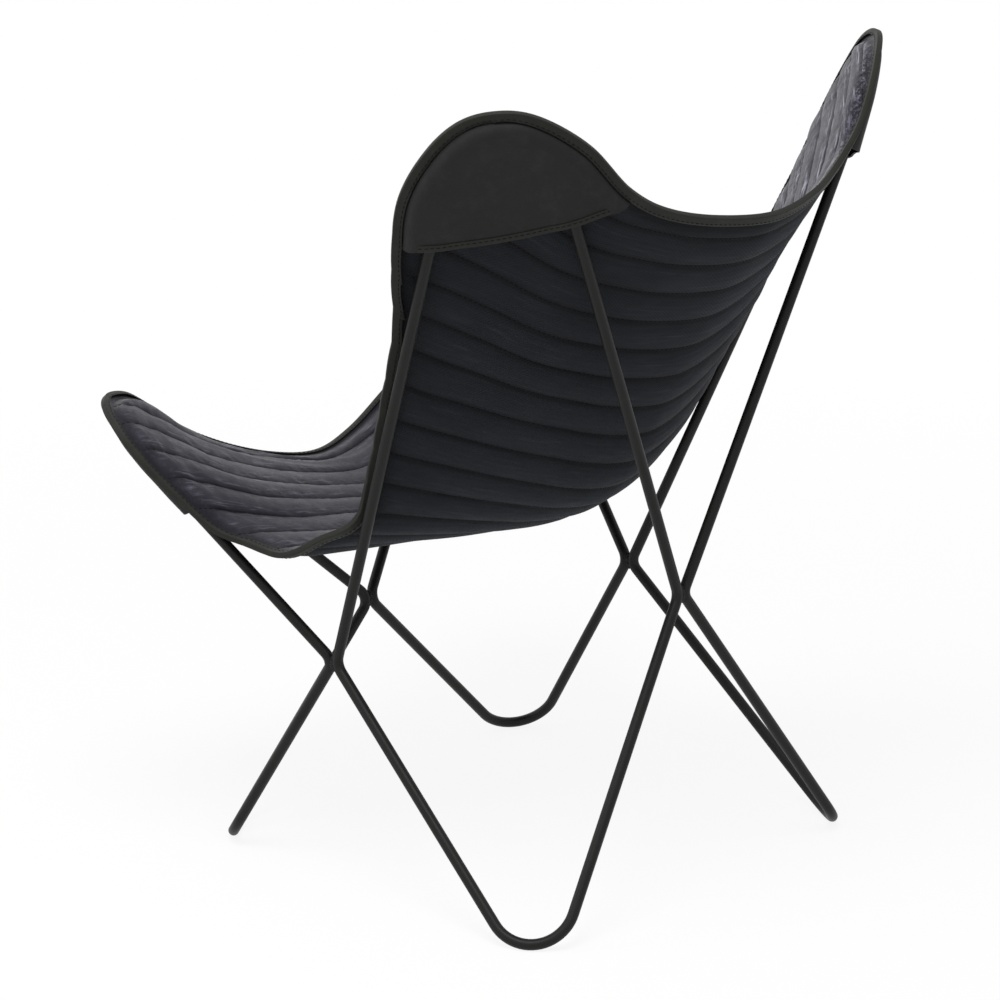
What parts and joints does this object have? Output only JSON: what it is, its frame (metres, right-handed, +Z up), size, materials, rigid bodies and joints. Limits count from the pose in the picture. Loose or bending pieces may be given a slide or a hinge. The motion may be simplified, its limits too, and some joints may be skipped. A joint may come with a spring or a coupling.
{
  "type": "butterfly sling chair",
  "caption": "Lounge chair: a channel-quilted leather sling whose corner pockets hang over the upper bends of a welded frame of bent steel rod loops.",
  "frame": {"origin": "on the floor, under the middle of the chair's outline seen from above", "axes": "+X to the sitter's left, +Y to the back, +Z up; the chair is mirror-symmetric about X = 0 and faces -Y"},
  "size_m": [0.6936, 0.717, 0.9013],
  "materials": {
    "coated_steel": "satin black powder coat",
    "coated_weld": "satin black powder coat over the weld bead",
    "face_leather": "charcoal grey waxed leather with a soft sheen",
    "pocket_leather": "smooth near-black leather, matt",
    "binding_leather": "near-black leather tape, matt",
    "backing_canvas": "blue-black plain-weave cotton canvas",
    "polyester_wadding": "white needled polyester wadding"
  },
  "bodies": {
    "root": {"rear_left_loop": "coated_steel", "rear_right_loop": "coated_steel", "front_left_loop": "coated_steel", "front_right_loop": "coated_steel", "rear_center_weld": "coated_weld", "front_center_weld": "coated_weld", "left_weld": "coated_weld", "right_weld": "coated_weld", "face_panel": "face_leather", "wadding": "polyester_wadding", "backing_panel": "backing_canvas", "edge_binding": "binding_leather", "back_left_pocket": "pocket_leather", "back_right_pocket": "pocket_leather", "front_left_pocket": "pocket_leather", "front_right_pocket": "pocket_leather", "back_left_pocket_hem": "binding_leather", "back_right_pocket_hem": "binding_leather", "front_left_pocket_hem": "binding_leather", "front_right_pocket_hem": "binding_leather"}
  },
  "joints": []
}
